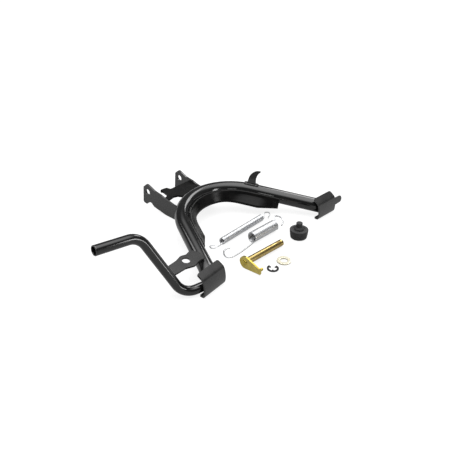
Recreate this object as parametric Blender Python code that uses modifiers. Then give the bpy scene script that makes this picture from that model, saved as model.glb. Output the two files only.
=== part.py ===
# Motorcycle centre stand: welded tube frame with its feet, pivot ears, side lever and
# the loose fitting hardware laid out beside it on the floor. Metres, Z up.
# X runs along the pivot axis with the lever side at +X, Y from the pivot down to the
# feet, and the floor is z = 0.

import math

import bmesh
import bpy
from mathutils import Matrix, Vector

# General
GAP = 0.0003
ROUND_STEPS = 24

# Frame tube: a U whose plane tilts down towards the feet
TUBE_RADIUS = 0.013
TUBE_WALL = 0.0025
BEND_RADIUS = 0.1067
LEG_SPLAY = 27.57
FRAME_TILT = 8.9
APEX_Y = 0.0968
APEX_Z = 0.0448

# Folded gusset inside the bend
GUSSET_REACH = 0.168
GUSSET_APEX_WIDTH = 0.0195
GUSSET_LEG_WIDTH = 0.0275
GUSSET_TIP_WIDTH = 0.0150
GUSSET_SHEET = 0.0022
GUSSET_DEPTH = 0.0195

# Pivot ears and the stop plate between them
EAR_OFFSET = 0.0434
EAR_THICKNESS = 0.004
PIVOT_HEIGHT = 0.0349
PIVOT_BORE = 0.0125
ARM_END = 0.112
STOP_TOP = 0.035
STOP_THICKNESS = 0.004

# Feet: one folded sheet profile run along X
FOOT_SHEET = 0.003
FOOT_WIDTH = 0.0468
FOOT_CENTRE = 0.1629
TONGUE_LENGTH = 0.0232
FOOT_Y = 0.285

# Foot lever and the brace plate that ties it to the leg
LEVER_RADIUS = 0.0075
LEVER_WALL = 0.0015
LEVER_BEND = 0.030
BRACE_THICKNESS = 0.003
BRACE_BORE = 0.0132

# Spring hook tab on the right leg, placed by its distance along the leg
HOOK_SHEET = 0.0035
HOOK_WIDTH = 0.016
HOOK_ALONG = 0.0497

# Loose hardware
LONG_SPRING_OD = 0.0127
LONG_SPRING_WIRE = 0.0023
SHORT_SPRING_OD = 0.021
SHORT_SPRING_WIRE = 0.003
PIN_DIAMETER = 0.012
PIN_LENGTH = 0.090
FLAG_HEIGHT = 0.018
FLAG_THICKNESS = 0.003
WASHER_OD = 0.024
WASHER_ID = 0.013
WASHER_THICKNESS = 0.0018
CLIP_OD = 0.0195
CLIP_THICKNESS = 0.0012
STOP_PAD_RADIUS = 0.0159
STOP_PAD_HEIGHT = 0.0145
STOP_STEM_RADIUS = 0.0053
STOP_STEM_TOP = 0.026

BLACK_PAINT = (0.012, 0.012, 0.013)
ZINC = (0.60, 0.61, 0.62)
YELLOW_PLATE = (0.56, 0.40, 0.12)

for old in list(bpy.data.objects):
    bpy.data.objects.remove(old, do_unlink=True)

pieces = bpy.data.collections.new("centre_stand")
cutters = bpy.data.collections.new("centre_stand_cutters")
bpy.context.scene.collection.children.link(pieces)
bpy.context.scene.collection.children.link(cutters)


def make_material(name, colour, roughness, metallic):
    made = bpy.data.materials.new(name)
    made.use_nodes = True
    shader = made.node_tree.nodes["Principled BSDF"]
    shader.inputs["Base Color"].default_value = (*colour, 1.0)
    shader.inputs["Roughness"].default_value = roughness
    shader.inputs["Metallic"].default_value = metallic
    made.diffuse_color = (*colour, 1.0)
    return made


def tidy_mesh(mesh):
    # weld doubled points and turn every face outwards
    shell = bmesh.new()
    shell.from_mesh(mesh)
    bmesh.ops.remove_doubles(shell, verts=shell.verts, dist=0.00001)
    bmesh.ops.dissolve_degenerate(shell, edges=shell.edges, dist=0.000001)
    bmesh.ops.recalc_face_normals(shell, faces=shell.faces)
    shell.to_mesh(mesh)
    shell.free()
    return mesh


def baked(item):
    # the evaluated shape as a plain mesh in place of curve or modifiers
    bpy.context.view_layer.update()
    graph = bpy.context.evaluated_depsgraph_get()
    mesh = bpy.data.meshes.new_from_object(item.evaluated_get(graph))
    name = item.name
    matrix = item.matrix_world.copy()
    home = item.users_collection[0]
    bpy.data.objects.remove(item, do_unlink=True)
    mesh.transform(matrix)
    fresh = bpy.data.objects.new(name, tidy_mesh(mesh))
    home.objects.link(fresh)
    return fresh


def combine(target, tool, operation, keep=False):
    step = target.modifiers.new(operation.lower(), "BOOLEAN")
    step.operation = operation
    step.solver = "EXACT"
    step.object = tool
    result = baked(target)
    if not keep:
        bpy.data.objects.remove(tool, do_unlink=True)
    return result


def add_spline(curve, points, closed):
    spline = curve.splines.new("POLY")
    spline.points.add(len(points) - 1)
    for slot, point in zip(spline.points, points):
        slot.co = (*point, 1.0)
    spline.use_cyclic_u = closed
    return spline


def tube(name, points, radius, home, steps=ROUND_STEPS):
    curve = bpy.data.curves.new(name, "CURVE")
    curve.dimensions = "3D"
    curve.bevel_depth = radius
    curve.bevel_resolution = steps // 2 - 2
    curve.use_fill_caps = True
    add_spline(curve, points, False)
    item = bpy.data.objects.new(name, curve)
    home.objects.link(item)
    return baked(item)


def prism(name, outlines, low, high, place, home):
    # flat outlines (the first may hold holes) raised from low to high, then placed
    curve = bpy.data.curves.new(name, "CURVE")
    curve.dimensions = "2D"
    curve.fill_mode = "BOTH"
    curve.extrude = (high - low) / 2
    for outline in outlines:
        add_spline(curve, [(x, y, 0.0) for x, y in outline], True)
    item = bpy.data.objects.new(name, curve)
    item.matrix_world = place @ Matrix.Translation((0.0, 0.0, (high + low) / 2))
    home.objects.link(item)
    return baked(item)


def turned(name, profile, place, home, steps=32, ring=False):
    # profile of (radius, height) spun about Z; a ring profile closes on itself
    mesh = bpy.data.meshes.new(name)
    count = len(profile)
    edges = [(i, i + 1) for i in range(count - 1)]
    if ring:
        edges.append((count - 1, 0))
    mesh.from_pydata([(radius, 0.0, height) for radius, height in profile], edges, [])
    item = bpy.data.objects.new(name, mesh)
    home.objects.link(item)
    spin = item.modifiers.new("spin", "SCREW")
    spin.steps = steps
    spin.render_steps = steps
    spin.use_merge_vertices = True
    spin.merge_threshold = 0.00002
    item.matrix_world = place
    return baked(item)


def placed(origin, across, up, out):
    # matrix whose local X, Y and Z run along the three world directions
    frame = Matrix((across, up, out)).transposed().to_4x4()
    frame.translation = origin
    return frame


def circle(centre, radius, steps=ROUND_STEPS):
    turn = 2 * math.pi / steps
    return [(centre[0] + radius * math.cos(i * turn), centre[1] + radius * math.sin(i * turn))
            for i in range(steps)]


def rounded(corners, steps=4):
    # outline from (x, y, corner radius) triples, each corner turned by a short arc
    outline = []
    for i, (x, y, radius) in enumerate(corners):
        here = Vector((x, y))
        before = Vector(corners[i - 1][:2]) - here
        after = Vector(corners[(i + 1) % len(corners)][:2]) - here
        if radius <= 0.0:
            outline.append((x, y))
            continue
        half = before.angle(after) / 2
        reach = min(radius / math.tan(half), before.length * 0.48, after.length * 0.48)
        start = here + before.normalized() * reach
        end = here + after.normalized() * reach
        for k in range(steps + 1):
            t = k / steps
            point = start * (1 - t) ** 2 + here * 2 * t * (1 - t) + end * t ** 2
            outline.append((point.x, point.y))
    return outline


def offset_line(points, distance):
    # the line moved sideways by a distance, corners mitred
    moved = []
    for i, point in enumerate(points):
        here = Vector(point)
        a = (here - Vector(points[i - 1])).normalized() if i else None
        last = i == len(points) - 1
        b = None if last else (Vector(points[i + 1]) - here).normalized()
        a = a or b
        b = b or a
        mean = (a + b).normalized()
        side = Vector((mean.y, -mean.x))
        moved.append(tuple(here + side * distance / max(0.5, mean.dot(b))))
    return moved


def smooth_line(points, spans=4):
    # rounded run through 3D points
    line = []
    count = len(points)
    for i in range(count - 1):
        p0 = Vector(points[max(i - 1, 0)])
        p1 = Vector(points[i])
        p2 = Vector(points[i + 1])
        p3 = Vector(points[min(i + 2, count - 1)])
        for k in range(spans):
            t = k / spans
            line.append(0.5 * (2 * p1 + (p2 - p0) * t + (2 * p0 - 5 * p1 + 4 * p2 - p3) * t * t
                               + (3 * p1 - p0 - 3 * p2 + p3) * t ** 3))
    line.append(Vector(points[-1]))
    return line


def filleted_path(points, radius, steps=8):
    # straight runs joined by true arcs of one radius
    path = [Vector(points[0])]
    for i in range(1, len(points) - 1):
        here = Vector(points[i])
        back = (Vector(points[i - 1]) - here).normalized()
        ahead = (Vector(points[i + 1]) - here).normalized()
        half = back.angle(ahead) / 2
        centre = here + (back + ahead).normalized() * radius / math.sin(half)
        start = here + back * radius / math.tan(half) - centre
        end = here + ahead * radius / math.tan(half) - centre
        for k in range(steps + 1):
            path.append(centre + start.slerp(end, k / steps).normalized() * radius)
    path.append(Vector(points[-1]))
    return path


splay = math.radians(LEG_SPLAY)
tilt = math.radians(FRAME_TILT)
bend_half = math.pi / 2 - splay
arc_half = BEND_RADIUS * bend_half


def frame_point(across, down, lift):
    # a point of the tilted frame plane, lifted off it by a height
    return Vector((across,
                   APEX_Y + down * math.cos(tilt) + lift * math.sin(tilt),
                   APEX_Z - down * math.sin(tilt) + lift * math.cos(tilt)))


def axis_point(run, inward, lift):
    # a point beside the tube axis: run along it from the apex, inward into the U
    turn = max(-bend_half, min(bend_half, run / BEND_RADIUS))
    extra = max(0.0, abs(run) - arc_half)
    side = math.copysign(1.0, run)
    across = BEND_RADIUS * math.sin(turn) + extra * side * math.cos(bend_half)
    down = BEND_RADIUS * (1 - math.cos(turn)) + extra * math.sin(bend_half)
    return frame_point(across - inward * math.sin(turn), down + inward * math.cos(turn), lift)


leg_reach = (FOOT_Y + 0.02 - APEX_Y) / math.cos(tilt) - BEND_RADIUS * (1 - math.cos(bend_half))
leg_end = arc_half + leg_reach / math.sin(bend_half)
bend_steps = 18
axis_runs = [-leg_end]
axis_runs += [arc_half * (2 * i / bend_steps - 1) for i in range(bend_steps + 1)]
axis_runs += [leg_end]
tube_axis = [axis_point(run, 0.0, 0.0) for run in axis_runs]

# Directions that turn a flat outline into the (Y, Z) plane, with its depth along X
side_plane = placed((0.0, 0.0, 0.0), (0, 1, 0), (0, 0, 1), (1, 0, 0))
floor_plane = Matrix.Identity(4)

# Foot profile in (Y, Z), its outer line from the flange edge over the sole to the lip
foot_line = [
    (FOOT_Y - 0.0145, 0.0385),
    (FOOT_Y - 0.0060, 0.0307),
    (FOOT_Y - 0.0041, 0.0283),
    (FOOT_Y - 0.0014, 0.0220),
    (FOOT_Y - 0.0002, 0.0150),
    (FOOT_Y - 0.0008, 0.0085),
    (FOOT_Y - 0.0027, 0.0036),
    (FOOT_Y - 0.0054, 0.0010),
    (FOOT_Y - 0.0085, 0.0),
    (FOOT_Y - 0.0115, 0.0),
]
foot_inner = offset_line(foot_line, FOOT_SHEET)
foot_clear = offset_line(foot_line, FOOT_SHEET + GAP)
foot_outline = foot_line + foot_inner[::-1]


def foot_clearance(name, side):
    # everything outside the inside of the folded foot, used to trim what it holds
    outline = foot_clear + [(foot_clear[-1][0], -0.03), (0.36, -0.03), (0.36, 0.08),
                            (foot_clear[0][0], 0.08)]
    low, high = sorted((side * 0.10, side * 0.24))
    return prism(name, [outline], low, high, side_plane, cutters)


# Frame tube, hollow, its ends shaped to sit inside the feet
frame_tube = tube("frame_tube", tube_axis, TUBE_RADIUS, pieces)
bore = tube("frame_bore", tube_axis, TUBE_RADIUS - TUBE_WALL, cutters, 16)
stretch = [axis_point(-leg_end - 0.01, 0, 0)] + tube_axis + [axis_point(leg_end + 0.01, 0, 0)]
bpy.data.objects.remove(bore, do_unlink=True)
bore = tube("frame_bore", stretch, TUBE_RADIUS - TUBE_WALL, cutters, 16)
frame_tube = combine(frame_tube, bore, "DIFFERENCE")
for side in (-1, 1):
    frame_tube = combine(frame_tube, foot_clearance("foot_trim", side), "DIFFERENCE")

# Clearance body of the tube, for the pieces welded to it
tube_clear = tube("tube_clear", tube_axis, TUBE_RADIUS + GAP + 0.00012, cutters)


# Gusset: a sheet along the inside of the bend, its inner edge folded down
def gusset_width(run):
    reach = abs(run)
    swell = max(0.0, min(1.0, (reach - 0.045) / 0.075))
    swell = swell * swell * (3 - 2 * swell)
    fade = max(0.0, min(1.0, (reach - 0.136) / (GUSSET_REACH - 0.136)))
    width = GUSSET_APEX_WIDTH + (GUSSET_LEG_WIDTH - GUSSET_APEX_WIDTH) * swell
    return width + (GUSSET_TIP_WIDTH - width) * fade * fade


crease = 0.008
seat = math.sqrt((TUBE_RADIUS + GAP) ** 2 - crease ** 2)
fold_steps = [(0.0, -crease), (0.22, -crease - 0.0006), (0.80, -crease - 0.0024),
              (0.95, -crease - 0.0034), (1.0, -crease - 0.0052), (1.0, -GUSSET_DEPTH)]
stations = 34
sheet_points = []
sheet_faces = []
row = len(fold_steps)
for i in range(stations + 1):
    run = GUSSET_REACH * (2 * i / stations - 1)
    width = gusset_width(run)
    for share, lift in fold_steps:
        sheet_points.append(axis_point(run, seat + share * (width - seat), lift))
for i in range(stations):
    for k in range(row - 1):
        a = i * row + k
        sheet_faces.append((a, a + row, a + row + 1, a + 1))
sheet = bpy.data.meshes.new("bend_gusset")
sheet.from_pydata([tuple(p) for p in sheet_points], [], sheet_faces)
bend_gusset = bpy.data.objects.new("bend_gusset", sheet)
pieces.objects.link(bend_gusset)
thick = bend_gusset.modifiers.new("sheet", "SOLIDIFY")
thick.thickness = GUSSET_SHEET
thick.offset = 1.0
thick.use_even_offset = True
bend_gusset = baked(bend_gusset)
bend_gusset = combine(bend_gusset, tube_clear, "DIFFERENCE", keep=True)

# Pivot ears: side plates whose arms run back under the bend, saddled to the tube
ear_outline = rounded([
    (-0.0016, 0.0512, 0.0030),
    (-0.0112, 0.0430, 0.0030),
    (-0.0146, 0.0085, 0.0040),
    (-0.0040, 0.0075, 0.0035),
    (0.0045, 0.0145, 0.0030),
    (0.0100, 0.0142, 0.0030),
    (0.0180, 0.0068, 0.0050),
    (0.0500, 0.0, 0.0),
    (0.0740, 0.0, 0.0060),
    (ARM_END, 0.0160, 0.0030),
    (ARM_END, 0.0335, 0.0),
    (0.0915, 0.0335, 0.0020),
    (0.0865, 0.0296, 0.0040),
    (0.0740, 0.0302, 0.0100),
    (0.0480, 0.0362, 0.0060),
    (0.0405, 0.0391, 0.0060),
    (0.0215, 0.0420, 0.0060),
    (0.0058, 0.0488, 0.0030),
], 3)
pivot_ears = []
for name, side in (("pivot_ear_left", 1), ("pivot_ear_right", -1)):
    low = side * EAR_OFFSET - EAR_THICKNESS / 2
    hole = circle((0.0, PIVOT_HEIGHT), PIVOT_BORE / 2)
    ear = prism(name, [ear_outline, hole], low, low + EAR_THICKNESS, side_plane, pieces)
    pivot_ears.append(combine(ear, tube_clear, "DIFFERENCE", keep=True))

# Stop plate between the ears, with the horn that rides on the stop
stop_half = EAR_OFFSET - EAR_THICKNESS / 2 - GAP
stop_outline = rounded([
    (stop_half, 0.0600, 0.0),
    (stop_half, 0.0474, 0.0),
    (0.0345, 0.0470, 0.0050),
    (0.0262, 0.0128, 0.0030),
    (0.0195, 0.0150, 0.0030),
    (-0.0020, 0.0249, 0.0080),
    (-stop_half, 0.0249, 0.0),
    (-stop_half, 0.0600, 0.0),
], 4)
stop_plate = prism("stop_plate", [stop_outline], STOP_TOP - STOP_THICKNESS, STOP_TOP,
                   floor_plane, pieces)

# Feet
inner_side = FOOT_CENTRE - FOOT_WIDTH / 2
outer_side = FOOT_CENTRE + FOOT_WIDTH / 2
flange_back = foot_inner[0][0] - 0.0005
flange_corner = 0.004


def flange_rounder(low, high):
    # block that keeps the foot but rounds the two free corners of its flange
    outline = rounded([(low, flange_back, flange_corner), (high, flange_back, flange_corner),
                       (high, 0.40, 0.0), (low, 0.40, 0.0)])
    return prism("flange_rounder", [outline], -0.05, 0.10, floor_plane, cutters)


foot_left = prism("foot_left", [foot_outline], inner_side, outer_side, side_plane, pieces)
foot_left = combine(foot_left, flange_rounder(inner_side, outer_side), "INTERSECT")
notch_place = placed((inner_side, FOOT_Y, 0.011), (1, 0, 0), (0, 0, 1), (0, -1, 0))
notch = prism("notch", [circle((0, 0), 0.002, 12)], -0.02, 0.02, notch_place, cutters)
foot_left = combine(foot_left, notch, "DIFFERENCE")

tongue_end = outer_side + TONGUE_LENGTH
foot_right = prism("foot_right", [foot_outline], -tongue_end, -inner_side, side_plane, pieces)
foot_right = combine(foot_right, flange_rounder(-tongue_end, -inner_side), "INTERSECT")
tongue_low = 0.0135
tongue_high = 0.0305
tongue_keep = rounded([
    (0.01 - inner_side, -0.02, 0.0),
    (-outer_side, -0.02, 0.0),
    (-outer_side, tongue_low, 0.002),
    (-tongue_end, tongue_low, 0.006),
    (-tongue_end, tongue_high, 0.005),
    (-outer_side, tongue_high, 0.002),
    (-outer_side, 0.06, 0.0),
    (0.01 - inner_side, 0.06, 0.0),
])
front_plane = placed((0.0, FOOT_Y, 0.0), (1, 0, 0), (0, 0, 1), (0, -1, 0))
keeper = prism("tongue_keeper", [tongue_keep], -0.05, 0.05, front_plane, cutters)
foot_right = combine(foot_right, keeper, "INTERSECT")

# Foot lever: one bent tube from inside the left foot out to the open free end
lever_corners = [
    (0.1600, 0.2786, 0.0133),
    (0.2060, 0.2606, 0.0038),
    (0.2504, 0.2189, 0.1120),
    (0.3209, 0.2139, 0.1200),
]
lever_path = filleted_path(lever_corners, LEVER_BEND)
foot_lever = tube("foot_lever", lever_path, LEVER_RADIUS, pieces, 20)
free_end = lever_path[-1] + (lever_path[-1] - lever_path[-2]).normalized() * 0.004
leg_side = lever_path[0] + (lever_path[0] - lever_path[1]).normalized() * 0.004
lever_bore = tube("lever_bore", [leg_side] + lever_path[1:-1] + [free_end],
                  LEVER_RADIUS - LEVER_WALL, cutters, 12)
foot_lever = combine(foot_lever, lever_bore, "DIFFERENCE")
foot_lever = combine(foot_lever, tube_clear, "DIFFERENCE", keep=True)
foot_lever = combine(foot_lever, foot_clearance("lever_trim", 1), "DIFFERENCE")

# Brace plate lying on the leg and reaching the lever
lever_clear = tube("lever_clear", lever_path, LEVER_RADIUS + GAP + 0.0001, cutters)
ridge = TUBE_RADIUS + GAP + 0.00012
brace_plane = Matrix.Translation((0.0, APEX_Y, APEX_Z)) @ Matrix.Rotation(-tilt, 4, "X")
brace_centre = (0.1724, 0.2328)


def on_brace(x, y):
    # floor plan point carried into the tilted plane of the brace
    return (x, (y - APEX_Y - ridge * math.sin(tilt)) / math.cos(tilt))


brace_plan = [
    (0.1990, 0.2185, 0.004), (0.1830, 0.2205, 0.006), (0.1724, 0.2150, 0.008),
    (0.1590, 0.2190, 0.006), (0.1440, 0.2145, 0.004), (0.1370, 0.2310, 0.004),
    (0.1440, 0.2490, 0.004), (0.1580, 0.2475, 0.006), (0.1724, 0.2530, 0.008),
    (0.1870, 0.2470, 0.006), (0.2230, 0.2455, 0.0), (0.2160, 0.2360, 0.0),
]
brace_outline = rounded([(*on_brace(x, y), radius) for x, y, radius in brace_plan])
lever_brace = prism("lever_brace", [brace_outline, circle(on_brace(*brace_centre), BRACE_BORE / 2)],
                    ridge, ridge + BRACE_THICKNESS, brace_plane, pieces)
lever_brace = combine(lever_brace, lever_clear, "DIFFERENCE")

# Spring hook tab: a strip standing on the right leg and bent outwards at its top
hook_run = arc_half + HOOK_ALONG - 0.0547
leg_dir = (axis_point(-leg_end, 0, 0) - axis_point(-arc_half, 0, 0)).normalized()
leg_up = frame_point(0, 0, 1) - frame_point(0, 0, 0)
leg_out = leg_up.cross(leg_dir)
hook_base = axis_point(-hook_run, 0, 0)
bend_start = 0.021
bend_turn = math.radians(70)
hook_bend = 0.006
hook_line = [(0.0, TUBE_RADIUS + GAP), (0.0, bend_start)]
for i in range(1, 7):
    angle = bend_turn * i / 6
    hook_line.append((hook_bend * (1 - math.cos(angle)), bend_start + hook_bend * math.sin(angle)))
tip = hook_line[-1]
hook_line.append((tip[0] + 0.0115 * math.sin(bend_turn), tip[1] + 0.0115 * math.cos(bend_turn)))
hook_outline = (offset_line(hook_line, -HOOK_SHEET / 2)
                + offset_line(hook_line, HOOK_SHEET / 2)[::-1])
hook_place = placed(hook_base, leg_out, leg_up, leg_dir)
spring_hook = prism("spring_hook", [hook_outline], -HOOK_WIDTH / 2, HOOK_WIDTH / 2,
                    hook_place, pieces)
reach_out = hook_line[-1][0] + HOOK_SHEET
top_view = placed(hook_base, leg_dir, leg_out, leg_up)
half = HOOK_WIDTH / 2
corner_keep = rounded([(-half - 0.001, -0.01, 0.0), (half + 0.001, -0.01, 0.0),
                       (half + 0.001, reach_out, 0.003), (-half - 0.001, reach_out, 0.009)], 6)
keeper = prism("hook_keeper", [corner_keep], 0.0, 0.06, top_view, cutters)
spring_hook = combine(spring_hook, keeper, "INTERSECT")
for sign in (-1, 1):
    bead_line = [hook_base + leg_dir * end + leg_out * sign * 0.0026 + leg_up * 0.0143
                 for end in (-0.0135, -0.012, 0.012, 0.0135)]
    bead = tube("hook_bead", bead_line, 0.0024, cutters, 10)
    spring_hook = combine(spring_hook, bead, "UNION")
spring_hook = combine(spring_hook, tube_clear, "DIFFERENCE", keep=True)


# Springs: a hook, close turns and a second hook in one run of wire
def spring(name, ends, outside, wire, steps, start_turn, hooks, home):
    first = Vector(ends[0])
    span = Vector(ends[1]) - first
    along = span.normalized()
    level = Vector((0, 0, 1)).cross(along).normalized()
    up = along.cross(level)
    radius = (outside - wire) / 2
    turns = int(span.length / (wire + GAP))
    coil = []
    for i in range(turns * steps + 1):
        angle = start_turn + 2 * math.pi * i / steps
        side = level * math.cos(angle) + up * math.sin(angle)
        coil.append(first + span * i / (turns * steps) + side * radius)
    lead = smooth_line([*hooks[0], coil[0], coil[1]])
    tail = smooth_line([coil[-2], coil[-1], *hooks[1]])
    run = lead[:-4] + coil[1:-2] + tail
    return tube(name, run, wire / 2, home, 8)


long_spring = spring(
    "long_spring", [(0.0532, 0.2029, 0.00645), (-0.0622, 0.2024, 0.00645)],
    LONG_SPRING_OD, LONG_SPRING_WIRE, 7, math.pi,
    [[(0.0690, 0.2010, 0.0045), (0.0735, 0.1965, 0.0045), (0.0785, 0.1980, 0.0050),
      (0.0805, 0.2030, 0.0055), (0.0775, 0.2080, 0.0062), (0.0700, 0.2096, 0.0066),
      (0.0610, 0.2090, 0.0066)],
     [(-0.0700, 0.2020, 0.0118), (-0.0790, 0.2020, 0.0105), (-0.0840, 0.2040, 0.0075),
      (-0.0820, 0.2065, 0.0045), (-0.0730, 0.2095, 0.0030)]], pieces)
short_spring = spring(
    "short_spring", [(0.0150, 0.2388, 0.0106), (-0.0522, 0.2430, 0.0106)],
    SHORT_SPRING_OD, SHORT_SPRING_WIRE, 9, math.pi + 0.5,
    [[(0.0568, 0.2259, 0.0040), (0.0660, 0.2232, 0.0040), (0.0748, 0.2269, 0.0040),
      (0.0810, 0.2344, 0.0040), (0.0826, 0.2416, 0.0040), (0.0780, 0.2468, 0.0042),
      (0.0680, 0.2490, 0.0045), (0.0480, 0.2498, 0.0055), (0.0280, 0.2490, 0.0064)],
     [(-0.0640, 0.2345, 0.0185), (-0.0720, 0.2345, 0.0165), (-0.0765, 0.2390, 0.0130),
      (-0.0725, 0.2460, 0.0095), (-0.0620, 0.2510, 0.0075)]], pieces)

# Pivot pin and its flag plate, lying on the plate's long edge
pin_head = Vector((0.0752, 0.2752, FLAG_HEIGHT / 2))
pin_level = Vector((-0.9964, 0.0846, 0.0)).normalized()
pin_drop = (FLAG_HEIGHT - PIN_DIAMETER) / 2 / PIN_LENGTH
pin_dir = (pin_level - Vector((0, 0, pin_drop))).normalized()
pin_side = Vector((0, 0, 1)).cross(pin_dir).normalized()
pin_radius = PIN_DIAMETER / 2
groove = PIN_LENGTH - 0.006
pivot_pin = turned("pivot_pin", [
    (0.0, PIN_LENGTH), (pin_radius - 0.0015, PIN_LENGTH), (pin_radius, PIN_LENGTH - 0.0015),
    (pin_radius, groove), (pin_radius - 0.0011, groove), (pin_radius - 0.0011, groove - 0.0016),
    (pin_radius, groove - 0.0016), (pin_radius, GAP), (0.0, GAP),
], placed(pin_head, pin_side, pin_dir.cross(pin_side), pin_dir), pieces, 28)

flag_plane = placed(pin_head, pin_level.cross(Vector((0, 0, 1))), (0, 0, 1), -pin_level)
head = FLAG_HEIGHT / 2
flag_outline = [(head * math.cos(math.radians(a)), head * math.sin(math.radians(a)))
                for a in range(85, 271, 15)]
flag_outline += rounded([(0.0300, -head, 0.0), (0.0362, -head + 0.0015, 0.002),
                         (0.0362, 0.0022, 0.0015), (0.0300, 0.0030, 0.002)])
pin_flag = prism("pin_flag", [flag_outline], 0.0, FLAG_THICKNESS, flag_plane, pieces)
tab_outline = rounded([(0.0325, -0.0015, 0.001), (0.0362, -0.0015, 0.001),
                       (0.0362, 0.0022, 0.001), (0.0325, 0.0025, 0.001)])
tab = prism("flag_tab", [tab_outline], -0.0045, 0.001, flag_plane, cutters)
pin_flag = combine(pin_flag, tab, "UNION")
rivet_place = flag_plane @ Matrix.Translation((0, 0, FLAG_THICKNESS))
rivet = turned("rivet", [(0.0, 0.0016), (0.0030, 0.0014), (0.0044, 0.0006), (0.0046, -0.001),
                         (0.0, -0.001)], rivet_place, cutters, 20)
pin_flag = combine(pin_flag, rivet, "UNION")

# Washer
washer = turned("washer", [
    (WASHER_OD / 2 - 0.0003, WASHER_THICKNESS), (WASHER_OD / 2, WASHER_THICKNESS - 0.0003),
    (WASHER_OD / 2, 0.0002), (WASHER_OD / 2 - 0.0002, 0.0), (WASHER_ID / 2, 0.0),
    (WASHER_ID / 2, WASHER_THICKNESS),
], Matrix.Translation((0.0246, 0.3160, 0.0)), pieces, 36, ring=True)

# Retaining clip: an open ring with three inward lugs
clip_open = math.radians(217)
clip_ring = CLIP_OD / 2
clip_bore = clip_ring - 0.0030
clip_seat = clip_ring - 0.0052
clip_outline = []
for i in range(29):
    angle = clip_open + math.radians(38 + 284 * i / 28)
    clip_outline.append((clip_ring * math.cos(angle), clip_ring * math.sin(angle)))
for i in range(57):
    swing = 322 - 284 * i / 56
    lug = min(abs(swing - 42), abs(swing - 180), abs(swing - 318)) < 13
    radius = clip_seat if lug else clip_bore
    angle = clip_open + math.radians(swing)
    clip_outline.append((radius * math.cos(angle), radius * math.sin(angle)))
e_clip = prism("e_clip", [clip_outline], 0.0, CLIP_THICKNESS,
               Matrix.Translation((0.0548, 0.3154, 0.0)), pieces)

# Rubber bump stop with its push-in stem
bump_stop = turned("bump_stop", [
    (0.0, STOP_STEM_TOP), (STOP_STEM_RADIUS - 0.0012, STOP_STEM_TOP),
    (STOP_STEM_RADIUS, STOP_STEM_TOP - 0.0015), (STOP_STEM_RADIUS, 0.0190),
    (STOP_STEM_RADIUS + 0.0012, 0.0178), (0.0078, 0.0165), (0.0082, 0.0152),
    (0.0082, STOP_PAD_HEIGHT - 0.0014), (0.0105, STOP_PAD_HEIGHT - 0.0014),
    (0.0110, STOP_PAD_HEIGHT), (STOP_PAD_RADIUS - 0.0012, STOP_PAD_HEIGHT),
    (STOP_PAD_RADIUS, STOP_PAD_HEIGHT - 0.0012), (STOP_PAD_RADIUS - 0.0003, 0.0095),
    (STOP_PAD_RADIUS - 0.0020, 0.0015), (STOP_PAD_RADIUS - 0.0033, 0.0), (0.0, 0.0),
], Matrix.Translation((-0.0580, 0.2890, 0.0)), pieces, 28)

bpy.data.objects.remove(tube_clear, do_unlink=True)

# Materials, smooth shading and the common origin under the middle of everything
finishes = {
    "frame_tube": (BLACK_PAINT, 0.22, 0.0),
    "bend_gusset": (BLACK_PAINT, 0.25, 0.0),
    "pivot_ear_left": (BLACK_PAINT, 0.28, 0.0),
    "pivot_ear_right": (BLACK_PAINT, 0.28, 0.0),
    "stop_plate": (BLACK_PAINT, 0.30, 0.0),
    "foot_left": (BLACK_PAINT, 0.26, 0.0),
    "foot_right": (BLACK_PAINT, 0.26, 0.0),
    "foot_lever": (BLACK_PAINT, 0.22, 0.0),
    "lever_brace": (BLACK_PAINT, 0.28, 0.0),
    "spring_hook": (BLACK_PAINT, 0.27, 0.0),
    "long_spring": (ZINC, 0.30, 1.0),
    "short_spring": (ZINC, 0.30, 1.0),
    "pivot_pin": (YELLOW_PLATE, 0.32, 1.0),
    "pin_flag": (YELLOW_PLATE, 0.36, 1.0),
    "washer": ((0.72, 0.64, 0.42), 0.35, 1.0),
    "e_clip": ((0.03, 0.03, 0.03), 0.35, 0.6),
    "bump_stop": ((0.028, 0.028, 0.029), 0.75, 0.0),
}
rounds = ("frame_tube", "foot_lever", "long_spring", "short_spring", "pivot_pin", "washer",
          "bump_stop", "bend_gusset")
low = Vector((1e9, 1e9, 1e9))
high = Vector((-1e9, -1e9, -1e9))
for item in pieces.objects:
    for vertex in item.data.vertices:
        low = Vector(map(min, low, vertex.co))
        high = Vector(map(max, high, vertex.co))
centre = Vector(((low.x + high.x) / 2, (low.y + high.y) / 2, low.z))
for item in pieces.objects:
    item.data.transform(Matrix.Translation(-centre))
    item.data.materials.clear()
    item.data.materials.append(make_material(item.name, *finishes[item.name]))
    for face in item.data.polygons:
        face.use_smooth = item.name in rounds
        face.material_index = 0
for item in cutters.objects:
    item.hide_render = True
    item.display_type = "WIRE"
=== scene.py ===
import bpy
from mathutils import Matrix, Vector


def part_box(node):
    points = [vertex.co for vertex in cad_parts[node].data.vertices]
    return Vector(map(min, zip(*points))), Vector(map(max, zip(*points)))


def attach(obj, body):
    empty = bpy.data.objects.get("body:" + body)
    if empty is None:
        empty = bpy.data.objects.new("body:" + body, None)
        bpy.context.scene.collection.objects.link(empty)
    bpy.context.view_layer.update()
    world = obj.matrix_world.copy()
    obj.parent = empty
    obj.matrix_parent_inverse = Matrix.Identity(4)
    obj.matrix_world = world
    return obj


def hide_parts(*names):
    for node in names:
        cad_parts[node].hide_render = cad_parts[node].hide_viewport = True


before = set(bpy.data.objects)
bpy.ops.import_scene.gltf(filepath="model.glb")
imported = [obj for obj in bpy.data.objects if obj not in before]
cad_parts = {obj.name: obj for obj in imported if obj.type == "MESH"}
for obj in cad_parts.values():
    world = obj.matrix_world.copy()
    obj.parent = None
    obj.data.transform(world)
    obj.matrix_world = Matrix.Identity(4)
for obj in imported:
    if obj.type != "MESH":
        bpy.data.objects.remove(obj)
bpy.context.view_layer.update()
import math
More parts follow.
